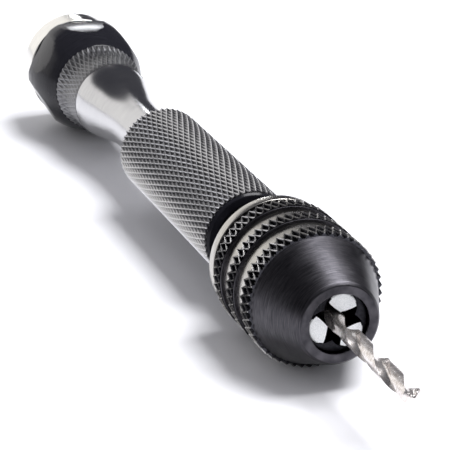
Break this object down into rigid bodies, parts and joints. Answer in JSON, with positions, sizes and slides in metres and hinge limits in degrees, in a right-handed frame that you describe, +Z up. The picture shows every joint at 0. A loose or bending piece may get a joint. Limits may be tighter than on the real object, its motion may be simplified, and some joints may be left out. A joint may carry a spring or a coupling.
{
  "type": "hand drill",
  "caption": "Small hand drill: knurled handle with a six-sided swivel-capped tail and a keyless three-jaw chuck that holds a twist drill.",
  "frame": {"origin": "centre of the overall box at its base, where the sleeve's knurled bands touch the surface", "axes": "+X along the tool's axis towards the drill's point, +Z up through a flat of the six-sided knob"},
  "size_m": [0.148, 0.019, 0.019],
  "materials": {
    "sleeve_black": "black anodised, satin, knurled bands",
    "handle_black": "black anodised, fine knurl and polished waist",
    "black_steel": "blackened",
    "jaw_steel": "sandblasted, pale",
    "drill_steel": "ground, warm",
    "bright_steel": "polished",
    "cap_metal": "polished"
  },
  "bodies": {
    "handle": {"handle": "handle_black", "chuck_body": "black_steel", "rear_collar": "bright_steel", "thrust_race_rear": "bright_steel", "bearing_inner_ring": "bright_steel", "swivel_screw": "bright_steel", "swivel_washer": "bright_steel"},
    "sleeve": {"chuck_sleeve": "sleeve_black", "jaw_nut_half_1": "bright_steel", "jaw_nut_half_2": "bright_steel", "thrust_race_front": "bright_steel", "thrust_ball_01": "bright_steel", "thrust_ball_02": "bright_steel", "thrust_ball_03": "bright_steel", "thrust_ball_04": "bright_steel", "thrust_ball_05": "bright_steel", "thrust_ball_06": "bright_steel", "thrust_ball_07": "bright_steel", "thrust_ball_08": "bright_steel", "thrust_ball_09": "bright_steel", "thrust_ball_10": "bright_steel", "thrust_ball_11": "bright_steel", "thrust_ball_12": "bright_steel"},
    "jaw_1": {"jaw_1": "jaw_steel"},
    "jaw_2": {"jaw_2": "jaw_steel"},
    "jaw_3": {"jaw_3": "jaw_steel"},
    "drill": {"twist_drill": "drill_steel"},
    "cap": {"end_cap": "cap_metal", "cap_plug": "cap_metal", "bearing_outer_ring": "bright_steel", "bearing_ball_1": "bright_steel", "bearing_ball_2": "bright_steel", "bearing_ball_3": "bright_steel", "bearing_ball_4": "bright_steel", "bearing_ball_5": "bright_steel", "bearing_ball_6": "bright_steel", "bearing_ball_7": "bright_steel"}
  },
  "joints": [
    {"name": "sleeve_turn", "type": "hinge", "parent": "handle", "child": "sleeve", "pos_m": [0.0505, 0, 0.0095], "axis": [1, 0, 0], "range_deg": [0, 720]},
    {"name": "jaw_1_slide", "type": "slide", "parent": "handle", "child": "jaw_1", "axis": [-0.9703, 0.0626, 0.2337], "range_m": [0, 0.003]},
    {"name": "jaw_2_slide", "type": "slide", "parent": "handle", "child": "jaw_2", "axis": [-0.9703, 0.1711, -0.1711], "range_m": [0, 0.003]},
    {"name": "jaw_3_slide", "type": "slide", "parent": "handle", "child": "jaw_3", "axis": [-0.9703, -0.2337, -0.0626], "range_m": [0, 0.003]},
    {"name": "drill_slide", "type": "slide", "parent": "handle", "child": "drill", "axis": [1, 0, 0], "range_m": [0, 0.06]},
    {"name": "cap_spin", "type": "hinge", "parent": "handle", "child": "cap", "pos_m": [-0.0715, 0, 0.0095], "axis": [1, 0, 0], "continuous": true}
  ],
  "couplings": [
    {"joint": "jaw_1_slide", "follows": "sleeve_turn", "m_per_rad": 0.0002387},
    {"joint": "jaw_2_slide", "follows": "sleeve_turn", "m_per_rad": 0.0002387},
    {"joint": "jaw_3_slide", "follows": "sleeve_turn", "m_per_rad": 0.0002387}
  ]
}
